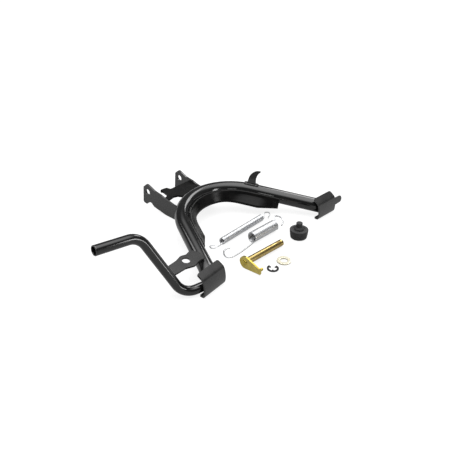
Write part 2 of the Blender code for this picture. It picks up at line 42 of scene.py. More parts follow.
import bmesh
import bpy
import numpy as np
from mathutils import Matrix, Vector

print("stand: frame loaded")

# Everything is laid out in metres from the floor point under the middle of the pivot
# axis, lever side at +X and feet at +Y, then moved once so that it lands on the frame.
washerSpot = (0.0246, 0.3160, 0.0)
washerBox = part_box("washer")
layoutShift = np.array([(washerBox[0].x + washerBox[1].x) / 2 - washerSpot[0],
                        (washerBox[0].y + washerBox[1].y) / 2 - washerSpot[1], 0.0])


# Small maths
def unit(v):
    v = np.asarray(v, float)
    return v / np.linalg.norm(v, axis=-1, keepdims=True)


def smoothStep(a, b, x):
    # eased rise from 0 at a to 1 at b
    t = np.clip((x - a) / (b - a), 0, 1)
    return t * t * (3 - 2 * t)


def arcLength(path):
    # running length of a polyline
    return np.concatenate([[0.0], np.cumsum(np.linalg.norm(np.diff(path, axis=0), axis=1))])


def resample(path, step):
    # the same polyline with points about one step apart
    s = arcLength(path)
    t = np.linspace(0.0, s[-1], max(3, int(round(s[-1] / step)) + 1))
    return np.stack([np.interp(t, s, path[:, k]) for k in range(path.shape[1])], axis=1)


def softCurve(points, step):
    # Catmull-Rom run through the points, evenly spaced
    p = np.asarray(points, float)
    p = np.vstack([2 * p[0] - p[1], p, 2 * p[-1] - p[-2]])
    t = np.linspace(0, 1, 24, endpoint=False)[None, :, None]
    a, b, c, d = p[:-3, None], p[1:-2, None], p[2:-1, None], p[3:, None]
    run = 0.5 * (2 * b + (c - a) * t + (2 * a - 5 * b + 4 * c - d) * t ** 2
                 + (3 * b - a - 3 * c + d) * t ** 3)
    return resample(np.vstack([run.reshape(-1, p.shape[1]), p[-2]]), step)


def bentLine(points, radius, step):
    # straight runs joined by true arcs of one radius
    p = np.asarray(points, float)
    out = [p[0]]
    for i in range(1, len(p) - 1):
        back, ahead = unit(p[i - 1] - p[i]), unit(p[i + 1] - p[i])
        half = math.acos(float(np.clip(back @ ahead, -1, 1))) / 2
        centre = p[i] + unit(back + ahead) * radius / math.sin(half)
        first, last = p[i] + back * radius / math.tan(half), p[i] + ahead * radius / math.tan(half)
        sweepAngle = math.pi - 2 * half
        t = np.linspace(0, 1, 25)[:, None]
        e1, e2 = first - centre, last - centre
        arc = (np.sin((1 - t) * sweepAngle) * e1 + np.sin(t * sweepAngle) * e2) / math.sin(sweepAngle)
        out.extend(list(centre + arc))
    out.append(p[-1])
    return resample(np.array(out), step)


def roundedOutline(corners, steps=7):
    # closed outline from (x, y, radius) rows, each corner turned by a true arc
    out = []
    c = np.asarray(corners, float)
    for i in range(len(c)):
        here, radius = c[i, :2], c[i, 2]
        v1, v2 = c[i - 1, :2] - here, c[(i + 1) % len(c), :2] - here
        if radius <= 0:
            out.append(here[None])
            continue
        back, ahead = unit(v1), unit(v2)
        half = math.acos(float(np.clip(back @ ahead, -1, 1))) / 2
        reach = min(radius / math.tan(half), 0.48 * np.linalg.norm(v1), 0.48 * np.linalg.norm(v2))
        r = reach * math.tan(half)
        centre = here + unit(back + ahead) * r / math.sin(half)
        e1, e2 = here + back * reach - centre, here + ahead * reach - centre
        turn = math.pi - 2 * half
        t = np.linspace(0, 1, steps + 1)[:, None]
        out.append(centre + (np.sin((1 - t) * turn) * e1 + np.sin(t * turn) * e2) / math.sin(turn))
    return np.vstack(out)


def carried(path, start):
    # side and up directions carried along a path without twist
    tangent = unit(np.gradient(path, axis=0))
    side = np.zeros_like(path)
    side[0] = unit(start - tangent[0] * (start @ tangent[0]))
    for i in range(1, len(path)):
        v = side[i - 1] - tangent[i] * (side[i - 1] @ tangent[i])
        side[i] = v / np.linalg.norm(v)
    return tangent, side, np.cross(tangent, side)


# Meshes
def addPiece(name, points, faces, material, node=None, smooth=True, tidy=True):
    # one mesh object in the frame, standing for its node or riding on the stand
    mesh = bpy.data.meshes.new(name)
    mesh.from_pydata((np.asarray(points) + layoutShift).tolist(), [], faces)
    if tidy:
        shell = bmesh.new()
        shell.from_mesh(mesh)
        bmesh.ops.remove_doubles(shell, verts=shell.verts, dist=0.000004)
        bmesh.ops.dissolve_degenerate(shell, edges=shell.edges, dist=0.000001)
        bmesh.ops.recalc_face_normals(shell, faces=shell.faces)
        shell.to_mesh(mesh)
        shell.free()
    mesh.polygons.foreach_set("use_smooth", np.full(len(mesh.polygons), smooth))
    mesh.materials.append(material)
    obj = bpy.data.objects.new(name, mesh)
    bpy.context.scene.collection.objects.link(obj)
    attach(obj, "root")
    if node:
        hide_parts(node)
    return obj


def gridFaces(nu, nv, closeU, closeV):
    # quads between neighbouring rows and columns of a grid of points
    i = np.arange(nu if closeU else nu - 1)[:, None]
    j = np.arange(nv if closeV else nv - 1)[None, :]
    a = i * nv + j
    b = ((i + 1) % nu) * nv + j
    c = ((i + 1) % nu) * nv + (j + 1) % nv
    d = i * nv + (j + 1) % nv
    return np.stack([a, b, c, d], axis=-1).reshape(-1, 4)


def addGrid(name, grid, material, node=None, closeU=False, closeV=True, caps=True):
    # a grid of points as one skin, its two open ends closed by a fan when asked
    nu, nv = grid.shape[:2]
    points = grid.reshape(-1, 3)
    faces = gridFaces(nu, nv, closeU, closeV).tolist()
    if caps and not closeU:
        points = np.vstack([points, grid[0].mean(0), grid[-1].mean(0)])
        j = np.arange(nv)
        k = (j + 1) % nv
        faces += np.stack([np.full(nv, nu * nv), k, j], 1).tolist()
        faces += np.stack([np.full(nv, nu * nv + 1), (nu - 1) * nv + j, (nu - 1) * nv + k], 1).tolist()
    return addPiece(name, points, faces, material, node)


def rings(path, side, up, radius, around):
    # round sections of a path: centre + r (side cos a + up sin a)
    a = np.linspace(0, 2 * math.pi, around, endpoint=False)
    radius = np.broadcast_to(radius, (len(path),))[:, None, None]
    turn = side[:, None] * np.cos(a)[None, :, None] + up[:, None] * np.sin(a)[None, :, None]
    return path[:, None] + radius * turn


def addTurned(name, profile, origin, axis, material, node=None, around=72, closed=False):
    # (radius, height) profile turned about an axis through the origin point
    profile = np.asarray(profile, float)
    axis = unit(axis)
    side = unit(np.cross([0.31, 0.2, 0.93] if abs(axis[2]) < 0.9 else [1.0, 0.0, 0.0], axis))
    up = np.cross(axis, side)
    a = np.linspace(0, 2 * math.pi, around, endpoint=False)
    turn = side * np.cos(a)[:, None] + up * np.sin(a)[:, None]
    grid = (np.asarray(origin) + profile[:, None, 1:] * axis + profile[:, None, :1] * turn[None])
    return addGrid(name, grid, material, node, closeU=closed, caps=False)


def softProfile(corners, radius, steps=4):
    # an open profile whose inner corners are eased by small arcs
    c = np.asarray(corners, float)
    out = [c[:1]]
    for i in range(1, len(c) - 1):
        v1, v2 = c[i - 1] - c[i], c[i + 1] - c[i]
        n1, n2 = np.linalg.norm(v1), np.linalg.norm(v2)
        reach = min(radius, 0.45 * n1, 0.45 * n2)
        p, q = c[i] + v1 / n1 * reach, c[i] + v2 / n2 * reach
        t = np.linspace(0, 1, steps + 1)[:, None]
        out.append(p * (1 - t) ** 2 + c[i] * 2 * t * (1 - t) + q * t ** 2)
    out.append(c[-1:])
    return np.vstack(out)


def addPlate(name, loops, thickness, place, material, node=None, edge=0.0005):
    # flat outline with holes, given thickness and softened edges
    # place holds rows: origin, the outline's x, its y, and the direction of thickness
    place = np.asarray(place, float)
    shell = bmesh.new()
    edges = []
    for loop in loops:
        points = place[0] + loop[:, :1] * place[1] + loop[:, 1:] * place[2] + layoutShift
        verts = [shell.verts.new(p) for p in points]
        edges += [shell.edges.new((verts[i], verts[(i + 1) % len(verts)])) for i in range(len(verts))]
    bmesh.ops.triangle_fill(shell, use_beauty=True, edges=edges)
    bottom = list(shell.faces)
    made = bmesh.ops.extrude_face_region(shell, geom=bottom)
    lifted = [v for v in made["geom"] if isinstance(v, bmesh.types.BMVert)]
    bmesh.ops.translate(shell, verts=lifted, vec=Vector(place[3] * thickness))
    bmesh.ops.recalc_face_normals(shell, faces=shell.faces)
    mesh = bpy.data.meshes.new(name)
    shell.to_mesh(mesh)
    shell.free()
    mesh.polygons.foreach_set("use_smooth", np.full(len(mesh.polygons), True))
    mesh.materials.append(material)
    obj = bpy.data.objects.new(name, mesh)
    bpy.context.scene.collection.objects.link(obj)
    soften(obj, edge)
    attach(obj, "root")
    if node:
        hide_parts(node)
    return obj


def soften(obj, width, segments=3, angle=35):
    # rounded edges with flat faces kept flat in the shading
    bevel = obj.modifiers.new("edges", "BEVEL")
    bevel.width = width
    bevel.segments = segments
    bevel.limit_method = "ANGLE"
    bevel.angle_limit = math.radians(angle)
    bevel.use_clamp_overlap = True
    bevel.harden_normals = True


def closeHoles(obj):
    # caps the open ends of a sheet and turns its faces outwards
    shell = bmesh.new()
    shell.from_mesh(obj.data)
    bmesh.ops.holes_fill(shell, edges=[e for e in shell.edges if e.is_boundary])
    bmesh.ops.recalc_face_normals(shell, faces=shell.faces)
    shell.to_mesh(obj.data)
    shell.free()


def circleLoop(x, y, radius, steps=48):
    a = np.linspace(0, 2 * math.pi, steps, endpoint=False)
    return np.stack([x + radius * np.cos(a), y + radius * np.sin(a)], 1)


# Materials
def newGroup(name, inputs, outputs):
    # empty shader group with named sockets
    group = bpy.data.node_groups.new(name, "ShaderNodeTree")
    for label, kind, value in inputs:
        socket = group.interface.new_socket(name=label, in_out="INPUT", socket_type=kind)
        socket.default_value = value
    for label, kind in outputs:
        group.interface.new_socket(name=label, in_out="OUTPUT", socket_type=kind)
    start = group.nodes.new("NodeGroupInput")
    end = group.nodes.new("NodeGroupOutput")
    return group, start, end


def node(tree, kind, **values):
    made = tree.nodes.new(kind)
    for key, value in values.items():
        if key in made.inputs:
            made.inputs[key].default_value = value
        else:
            setattr(made, key, value)
    return made


def maths(tree, operation, a, b=None, clamp=False):
    made = tree.nodes.new("ShaderNodeMath")
    made.operation = operation
    made.use_clamp = clamp
    for slot, value in zip(made.inputs, (a, b)):
        if value is None:
            continue
        if isinstance(value, (int, float)):
            slot.default_value = value
        else:
            tree.links.new(value, slot)
    return made.outputs[0]


def mixColour(tree, factor, a, b):
    made = tree.nodes.new("ShaderNodeMix")
    made.data_type = "RGBA"
    for slot, value in zip((made.inputs[0], made.inputs[6], made.inputs[7]), (factor, a, b)):
        if isinstance(value, bpy.types.NodeSocket):
            tree.links.new(value, slot)
        else:
            slot.default_value = value
    return made.outputs[2]


# Skin: slow colour drift, a fine ripple and a scatter of dust, all in object space
skinGroup, skinIn, skinOut = newGroup("surfaceSkin", [
    ("Base", "NodeSocketColor", (0.02, 0.02, 0.02, 1)),
    ("Drift Colour", "NodeSocketColor", (0.03, 0.03, 0.03, 1)),
    ("Drift Scale", "NodeSocketFloat", 40.0),
    ("Dust", "NodeSocketFloat", 0.1),
    ("Dust Colour", "NodeSocketColor", (0.2, 0.19, 0.17, 1)),
    ("Roughness", "NodeSocketFloat", 0.25),
    ("Rough Drift", "NodeSocketFloat", 0.06),
    ("Ripple Scale", "NodeSocketFloat", 900.0),
    ("Ripple", "NodeSocketFloat", 0.1),
    ("Ripple Depth", "NodeSocketFloat", 0.0001),
], [("Colour", "NodeSocketColor"), ("Roughness", "NodeSocketFloat"), ("Normal", "NodeSocketVector")])
t = skinGroup
coords = node(t, "ShaderNodeTexCoord")
drift = node(t, "ShaderNodeTexNoise", Detail=4.0, Roughness=0.6)
t.links.new(coords.outputs["Object"], drift.inputs["Vector"])
t.links.new(skinIn.outputs["Drift Scale"], drift.inputs["Scale"])
speck = node(t, "ShaderNodeTexNoise", Scale=1700.0, Detail=2.0, Roughness=0.5)
t.links.new(coords.outputs["Object"], speck.inputs["Vector"])
ripple = node(t, "ShaderNodeTexNoise", Detail=1.5, Roughness=0.45)
t.links.new(coords.outputs["Object"], ripple.inputs["Vector"])
t.links.new(skinIn.outputs["Ripple Scale"], ripple.inputs["Scale"])
driftMask = node(t, "ShaderNodeMapRange")
driftMask.inputs["From Min"].default_value = 0.38
driftMask.inputs["From Max"].default_value = 0.68
t.links.new(drift.outputs["Fac"], driftMask.inputs["Value"])
driftValue = driftMask.outputs["Result"]
speckMask = node(t, "ShaderNodeMapRange")
speckMask.inputs["From Min"].default_value = 0.60
speckMask.inputs["From Max"].default_value = 0.74
t.links.new(speck.outputs["Fac"], speckMask.inputs["Value"])
dustValue = maths(t, "MULTIPLY", maths(t, "MULTIPLY", speckMask.outputs["Result"], driftValue),
                  skinIn.outputs["Dust"], True)
drifted = mixColour(t, driftValue, skinIn.outputs["Base"], skinIn.outputs["Drift Colour"])
t.links.new(mixColour(t, dustValue, drifted, skinIn.outputs["Dust Colour"]), skinOut.inputs["Colour"])
roughShift = maths(t, "MULTIPLY", maths(t, "SUBTRACT", driftValue, 0.5), skinIn.outputs["Rough Drift"])
t.links.new(maths(t, "ADD", maths(t, "ADD", skinIn.outputs["Roughness"], roughShift), dustValue, True),
            skinOut.inputs["Roughness"])
bump = node(t, "ShaderNodeBump")
t.links.new(skinIn.outputs["Ripple"], bump.inputs["Strength"])
t.links.new(skinIn.outputs["Ripple Depth"], bump.inputs["Distance"])
t.links.new(ripple.outputs["Fac"], bump.inputs["Height"])
t.links.new(bump.outputs["Normal"], skinOut.inputs["Normal"])

# Rub: lighter, rougher metal where edges stand proud, from the curve of the surface
rubGroup, rubIn, rubOut = newGroup("edgeRub", [
    ("Colour", "NodeSocketColor", (0.02, 0.02, 0.02, 1)),
    ("Rub Colour", "NodeSocketColor", (0.12, 0.12, 0.12, 1)),
    ("Amount", "NodeSocketFloat", 0.5),
], [("Colour", "NodeSocketColor")])
t = rubGroup
shape = node(t, "ShaderNodeNewGeometry")
edgeMask = node(t, "ShaderNodeMapRange")
edgeMask.inputs["From Min"].default_value = 0.52
edgeMask.inputs["From Max"].default_value = 0.60
t.links.new(shape.outputs["Pointiness"], edgeMask.inputs["Value"])
breakUp = node(t, "ShaderNodeTexNoise", Scale=160.0, Detail=3.0)
rubCoords = node(t, "ShaderNodeTexCoord")
t.links.new(rubCoords.outputs["Object"], breakUp.inputs["Vector"])
rubMask = maths(t, "MULTIPLY", maths(t, "MULTIPLY", edgeMask.outputs["Result"], breakUp.outputs["Fac"]),
                rubIn.outputs["Amount"], True)
t.links.new(mixColour(t, rubMask, rubIn.outputs["Colour"], rubIn.outputs["Rub Colour"]),
            rubOut.inputs["Colour"])


def makeFinish(name, settings):
    # a Principled finish fed by the skin group, with worn edges
    made = bpy.data.materials.new(name)
    made.use_nodes = True
    tree = made.node_tree
    shader = tree.nodes["Principled BSDF"]
    skin = tree.nodes.new("ShaderNodeGroup")
    skin.node_tree = skinGroup
    for key, value in settings["skin"].items():
        skin.inputs[key].default_value = value
    rub = tree.nodes.new("ShaderNodeGroup")
    rub.node_tree = rubGroup
    rub.inputs["Rub Colour"].default_value = settings["rubColour"]
    rub.inputs["Amount"].default_value = settings["rub"]
    tree.links.new(skin.outputs["Colour"], rub.inputs["Colour"])
    tree.links.new(rub.outputs["Colour"], shader.inputs["Base Color"])
    tree.links.new(skin.outputs["Roughness"], shader.inputs["Roughness"])
    tree.links.new(skin.outputs["Normal"], shader.inputs["Normal"])
    for key, value in settings["shader"].items():
        shader.inputs[key].default_value = value
    return made


tubeEnamel = makeFinish("tubeEnamel", {
    "skin": {"Base": (0.007, 0.007, 0.0074, 1), "Drift Colour": (0.011, 0.011, 0.011, 1),
             "Drift Scale": 30.0, "Dust": 0.05, "Roughness": 0.13, "Rough Drift": 0.03,
             "Ripple Scale": 260.0, "Ripple": 0.08, "Ripple Depth": 0.0002},
    "rub": 0.12, "rubColour": (0.05, 0.05, 0.05, 1),
    "shader": {"Metallic": 0.0, "IOR": 1.5, "Coat Weight": 0.4, "Coat Roughness": 0.04},
})
# the tube's black enamel with a lighter base colour for the ears, feet, brace and hook: painted light
# standing in for the brighter reflections these plates show
plateEnamelPaintedLight = makeFinish("plateEnamelPaintedLight", {
    "skin": {"Base": (0.027, 0.027, 0.0275, 1), "Drift Colour": (0.036, 0.0355, 0.035, 1),
             "Drift Scale": 55.0, "Dust": 0.06, "Roughness": 0.18, "Rough Drift": 0.05,
             "Ripple Scale": 300.0, "Ripple": 0.10, "Ripple Depth": 0.0002},
    "rub": 0.2, "rubColour": (0.06, 0.06, 0.06, 1),
    "shader": {"Metallic": 0.0, "IOR": 1.5, "Coat Weight": 0.4, "Coat Roughness": 0.07},
})
# the same black enamel with a darker base, low IOR and no coat for the gusset and stop plate: painted shade
# standing in for the dark look these faces have
gussetEnamelPaintedShade = makeFinish("gussetEnamelPaintedShade", {
    "skin": {"Base": (0.006, 0.006, 0.0062, 1), "Drift Colour": (0.010, 0.0095, 0.009, 1),
             "Drift Scale": 55.0, "Dust": 0.06, "Roughness": 0.22, "Rough Drift": 0.05,
             "Ripple Scale": 300.0, "Ripple": 0.08, "Ripple Depth": 0.0002},
    "rub": 0.2, "rubColour": (0.06, 0.06, 0.06, 1),
    "shader": {"Metallic": 0.0, "IOR": 1.23, "Coat Weight": 0.0, "Coat Roughness": 0.1},
})
weldEnamel = makeFinish("weldEnamel", {
    "skin": {"Base": (0.012, 0.012, 0.012, 1), "Drift Colour": (0.022, 0.021, 0.020, 1),
             "Drift Scale": 140.0, "Dust": 0.08, "Roughness": 0.22, "Rough Drift": 0.08,
             "Ripple Scale": 700.0, "Ripple": 0.3, "Ripple Depth": 0.0003},
    "rub": 0.3, "rubColour": (0.08, 0.08, 0.08, 1),
    "shader": {"Metallic": 0.0, "IOR": 1.5, "Coat Weight": 0.2, "Coat Roughness": 0.15},
})
zincWire = makeFinish("zincWire", {
    "skin": {"Base": (0.72, 0.73, 0.74, 1), "Drift Colour": (0.64, 0.65, 0.67, 1),
             "Drift Scale": 60.0, "Dust": 0.0, "Roughness": 0.30, "Rough Drift": 0.04,
             "Ripple Scale": 1200.0, "Ripple": 0.03, "Ripple Depth": 0.0001},
    "rub": 0.0, "rubColour": (0.75, 0.75, 0.76, 1),
    "shader": {"Metallic": 0.85},
})
yellowPassivate = makeFinish("yellowPassivate", {
    "skin": {"Base": (0.60, 0.46, 0.18, 1), "Drift Colour": (0.42, 0.29, 0.10, 1),
             "Drift Scale": 90.0, "Dust": 0.06, "Dust Colour": (0.35, 0.30, 0.16, 1),
             "Roughness": 0.30, "Rough Drift": 0.12,
             "Ripple Scale": 1300.0, "Ripple": 0.15, "Ripple Depth": 0.0001},
    "rub": 0.6, "rubColour": (0.78, 0.66, 0.34, 1),
    "shader": {"Metallic": 1.0},
})
flagPassivate = makeFinish("flagPassivate", {
    "skin": {"Base": (0.66, 0.52, 0.09, 1), "Drift Colour": (0.50, 0.38, 0.08, 1),
             "Drift Scale": 110.0, "Dust": 0.04, "Dust Colour": (0.45, 0.40, 0.16, 1),
             "Roughness": 0.30, "Rough Drift": 0.12,
             "Ripple Scale": 500.0, "Ripple": 0.25, "Ripple Depth": 0.0002},
    "rub": 0.5, "rubColour": (0.85, 0.76, 0.40, 1),
    "shader": {"Metallic": 1.0},
})
palePassivate = makeFinish("palePassivate", {
    "skin": {"Base": (0.80, 0.77, 0.64, 1), "Drift Colour": (0.68, 0.62, 0.44, 1),
             "Drift Scale": 160.0, "Dust": 0.05, "Dust Colour": (0.45, 0.40, 0.25, 1),
             "Roughness": 0.34, "Rough Drift": 0.12,
             "Ripple Scale": 1500.0, "Ripple": 0.15, "Ripple Depth": 0.0001},
    "rub": 0.5, "rubColour": (0.86, 0.80, 0.60, 1),
    "shader": {"Metallic": 0.4},
})
blackOxide = makeFinish("blackOxide", {
    "skin": {"Base": (0.012, 0.012, 0.013, 1), "Drift Colour": (0.02, 0.02, 0.02, 1),
             "Drift Scale": 220.0, "Dust": 0.05, "Roughness": 0.34, "Rough Drift": 0.12,
             "Ripple Scale": 1600.0, "Ripple": 0.2, "Ripple Depth": 0.0001},
    "rub": 0.2, "rubColour": (0.06, 0.06, 0.06, 1),
    "shader": {"Metallic": 0.2},
})
bumpRubber = makeFinish("bumpRubber", {
    "skin": {"Base": (0.026, 0.026, 0.027, 1), "Drift Colour": (0.040, 0.040, 0.041, 1),
             "Drift Scale": 110.0, "Dust": 0.25, "Dust Colour": (0.10, 0.10, 0.10, 1),
             "Roughness": 0.62, "Rough Drift": 0.12,
             "Ripple Scale": 1400.0, "Ripple": 0.45, "Ripple Depth": 0.0003},
    "rub": 0.3, "rubColour": (0.06, 0.06, 0.06, 1),
    "shader": {"Metallic": 0.0, "IOR": 1.45},
})
print("stand: finishes made")

# Frame tube
tubeSet = {"radius": 0.0133, "wall": 0.0025, "bend": 0.1067, "splay": 27.57, "tilt": 8.9,
           "apexY": 0.0968, "apexZ": 0.0448, "leg": 0.118, "around": 56, "step": 0.004}
tilt = math.radians(tubeSet["tilt"])
bendHalf = math.radians(90 - tubeSet["splay"])
arcHalf = tubeSet["bend"] * bendHalf
frameDown = np.array([0.0, math.cos(tilt), -math.sin(tilt)])
frameLift = np.array([0.0, math.sin(tilt), math.cos(tilt)])
frameApex = np.array([0.0, tubeSet["apexY"], tubeSet["apexZ"]])


def besideTube(run, inward, lift):
    # points beside the tube axis: run along it, inward into the U, lifted off its plane
    run, inward, lift = np.broadcast_arrays(*(np.asarray(v, float) for v in (run, inward, lift)))
    turn = np.clip(run / tubeSet["bend"], -bendHalf, bendHalf)
    extra = np.maximum(0.0, np.abs(run) - arcHalf)
    across = tubeSet["bend"] * np.sin(turn) + extra * np.sign(run) * math.cos(bendHalf)
    down = tubeSet["bend"] * (1 - np.cos(turn)) + extra * math.sin(bendHalf)
    across = across - inward * np.sin(turn)
    down = down + inward * np.cos(turn)
    return (frameApex + across[..., None] * np.array([1.0, 0, 0])
            + down[..., None] * frameDown + lift[..., None] * frameLift)


# Foot profile in (Y, Z), outer line from the flange edge over the sole to the lip
footSet = {"sheet": 0.003, "width": 0.0510, "centre": 0.1619, "soleY": 0.286, "toe": 4.0,
           "tongue": 0.0205, "tongueLow": 0.0150, "tongueHigh": 0.0280,
           "tongueCorner": 0.0062, "tongueFrom": 0.011, "flangeCorner": 0.004, "lipCorner": 0.0015,
           "edge": 0.0006}
footCorners = np.array([
    (-0.0160, 0.0388), (-0.0060, 0.0326), (-0.0038, 0.0304), (-0.0018, 0.0258),
    (-0.0006, 0.0200), (-0.0001, 0.0140), (-0.0004, 0.0080), (-0.0016, 0.0030),
    (-0.0036, 0.0006), (-0.0060, 0.0), (-0.0115, 0.0)]) + [footSet["soleY"], 0.0]
footOuter = softCurve(footCorners, 0.0006)
footTangent = unit(np.gradient(footOuter, axis=0))
footNormal = np.stack([footTangent[:, 1], -footTangent[:, 0]], 1)  # towards the inside
footInner = footOuter + footNormal * footSet["sheet"]
toeTan = math.tan(math.radians(footSet["toe"]))


def trimToFoot(points, direction):
    # slides points along a direction until they lie just inside the folded foot
    order = np.argsort(footInner[:, 1])
    soleY = np.interp(points[..., 2], footInner[order, 1], footInner[order, 0]) - 0.0004
    soleY = soleY + (np.abs(points[..., 0]) - footSet["centre"]) * toeTan
    slide = (soleY - points[..., 1]) / direction[1]
    return points + slide[..., None] * direction


legEnd = arcHalf + tubeSet["leg"]
runs = np.linspace(-legEnd, legEnd, int(2 * legEnd / tubeSet["step"]) + 1)
tubeAxis = besideTube(runs, 0.0, 0.0)
turnSide = unit(besideTube(runs, 0.01, 0.0) - tubeAxis)
turnUp = np.broadcast_to(frameLift, turnSide.shape)
outerSkin = rings(tubeAxis, turnSide, turnUp, tubeSet["radius"], tubeSet["around"])
innerSkin = rings(tubeAxis, turnSide, turnUp, tubeSet["radius"] - tubeSet["wall"], tubeSet["around"])
for k, sign in ((0, -1), (-1, 1)):
    legDir = unit(besideTube(sign * legEnd, 0, 0) - besideTube(sign * (legEnd - 0.01), 0, 0))
    outerSkin[k] = trimToFoot(outerSkin[k], legDir)
    innerSkin[k] = trimToFoot(innerSkin[k], legDir)
addGrid("frameTube", np.concatenate([outerSkin, innerSkin[::-1]]), tubeEnamel, "frame_tube",
        closeU=True, caps=False)
print("stand: frame tube")

# Gusset
gussetSet = {"reach": 0.172, "apexWidth": 0.0240, "legWidth": 0.0325, "tipWidth": 0.0185,
             "swellFrom": 0.042, "swellTo": 0.114, "fadeFrom": 0.134, "sheet": 0.0027,
             "depth": 0.0165, "root": 0.0147, "seam": 0.0032, "seamShare": 0.32, "rows": 221}
reach, root, deep, seam = (gussetSet[key] for key in ("reach", "root", "depth", "seam"))
gRun = np.linspace(-reach, reach, gussetSet["rows"])
swell = smoothStep(gussetSet["swellFrom"], gussetSet["swellTo"], np.abs(gRun))
fade = np.clip((np.abs(gRun) - gussetSet["fadeFrom"]) / (reach - gussetSet["fadeFrom"]), 0, 1)
gWidth = gussetSet["apexWidth"] + (gussetSet["legWidth"] - gussetSet["apexWidth"]) * swell
gWidth = gWidth + (gussetSet["tipWidth"] - gWidth) * fade
# upper skin as (share, lift): a seam of even width along the tube, then the swelling width
# down to the folded edge
foldRows = softProfile([(0.0, 0.0047), (0.18, 0.0014), (0.32, -0.0014), (0.48, -0.0045),
                        (0.84, -deep + 0.0059), (1.0, -deep + 0.0036), (1.0, -deep)], 0.3, 7)
seamPart = np.clip(foldRows[:, 0] / gussetSet["seamShare"], 0, 1)
widthPart = np.clip((foldRows[:, 0] - gussetSet["seamShare"]) / (1 - gussetSet["seamShare"]), 0, 1)
inward = root + seam * seamPart[None] + widthPart[None] * (gWidth[:, None] - root - seam)
top = besideTube(gRun[:, None], inward, foldRows[None, :, 1])
sheetNormal = unit(np.cross(np.gradient(top, axis=1), np.gradient(top, axis=0)))
sheetNormal *= np.sign(sheetNormal[len(gRun) // 2, 8] @ frameLift)
under = top - sheetNormal * gussetSet["sheet"]
bendGusset = addGrid("bendGusset", np.concatenate([top, under[:, ::-1]], axis=1), gussetEnamelPaintedShade,
                     "bend_gusset", closeU=False, closeV=True, caps=False)
closeHoles(bendGusset)
print("stand: gusset")

# Pivot ears
earSet = {"offset": 0.0434, "aside": -0.0006, "thickness": 0.004, "holeY": 0.0012, "holeZ": 0.0349,
          "hole": 0.0061, "edge": 0.0006}
earOutline = roundedOutline([
    (-0.0004, 0.0514, 0.0030), (-0.0100, 0.0434, 0.0030), (-0.0134, 0.0085, 0.0040),
    (-0.0030, 0.0073, 0.0035), (0.0052, 0.0143, 0.0030), (0.0105, 0.0140, 0.0030),
    (0.0180, 0.0078, 0.0050), (0.0500, 0.0012, 0.01), (0.0740, 0.0, 0.0060), (0.1120, 0.0160, 0.0030),
    (0.1120, 0.0335, 0.0), (0.0915, 0.0335, 0.0020), (0.0865, 0.0296, 0.0040),
    (0.0740, 0.0302, 0.0100), (0.0480, 0.0362, 0.0060), (0.0405, 0.0391, 0.0060),
    (0.0220, 0.0424, 0.0060), (0.0068, 0.0493, 0.0030)])
earHole = circleLoop(earSet["holeY"], earSet["holeZ"], earSet["hole"])
for label, cadNode, sign in (("pivotEarLeft", "pivot_ear_left", 1), ("pivotEarRight", "pivot_ear_right", -1)):
    start = [sign * earSet["offset"] + earSet["aside"] - earSet["thickness"] / 2, 0, 0]
    addPlate(label, [earOutline, earHole], earSet["thickness"],
             [start, [0, 1, 0], [0, 0, 1], [1, 0, 0]], plateEnamelPaintedLight, cadNode, earSet["edge"])

# Stop plate with its horn
stopSet = {"top": 0.035, "thickness": 0.004, "half": 0.0411, "edge": 0.0005}
stopOutline = roundedOutline([
    (stopSet["half"], 0.0560, 0.0), (stopSet["half"], 0.0446, 0.0), (0.0355, 0.0438, 0.0040),
    (0.0277, 0.0395, 0.0040), (0.0228, 0.0215, 0.0), (0.0252, 0.0150, 0.0030), (0.0180, 0.0130, 0.0040),
    (0.0068, 0.0150, 0.0030), (0.0056, 0.0250, 0.0030), (-stopSet["half"], 0.0248, 0.0),
    (-stopSet["half"], 0.0965, 0.0), (-0.0250, 0.0915, 0.0), (-0.0080, 0.0885, 0.0),
    (0.0062, 0.0885, 0.0), (0.0112, 0.0640, 0.0040), (0.0158, 0.0556, 0.0040),
    (0.0240, 0.0526, 0.0040), (0.0356, 0.0552, 0.0040)])
addPlate("stopPlate", [stopOutline], stopSet["thickness"],
         [[0, 0, stopSet["top"] - stopSet["thickness"]], [1, 0, 0], [0, 1, 0], [0, 0, 1]],
         gussetEnamelPaintedShade, "stop_plate", stopSet["edge"])
print("stand: ears and stop plate")


# Feet: the folded profile run along X between two edges that follow the outline
def cornerCut(distance, radius):
    # how far an edge draws back near a corner of this radius
    d = np.clip(radius - distance, 0, radius)
    return radius - np.sqrt(np.maximum(radius ** 2 - d ** 2, 0))


footRun = arcLength(footOuter)
half = footSet["width"] / 2
drawnIn = (cornerCut(footRun, footSet["flangeCorner"])
           + cornerCut(footRun[-1] - footRun, footSet["lipCorner"]))
lowEdge = footSet["centre"] - half + drawnIn
highEdge = footSet["centre"] + half - drawnIn
soleZ = footOuter[:, 1]
tongueMid = (footSet["tongueLow"] + footSet["tongueHigh"]) / 2
tongueHalf = (footSet["tongueHigh"] - footSet["tongueLow"]) / 2
inTongue = (np.abs(soleZ - tongueMid) < tongueHalf) & (footRun > footSet["tongueFrom"])
tongueCut = cornerCut(tongueHalf - np.abs(soleZ - tongueMid), footSet["tongueCorner"])
tongueEdge = np.where(inTongue, footSet["tongue"] - tongueCut, 0.0)


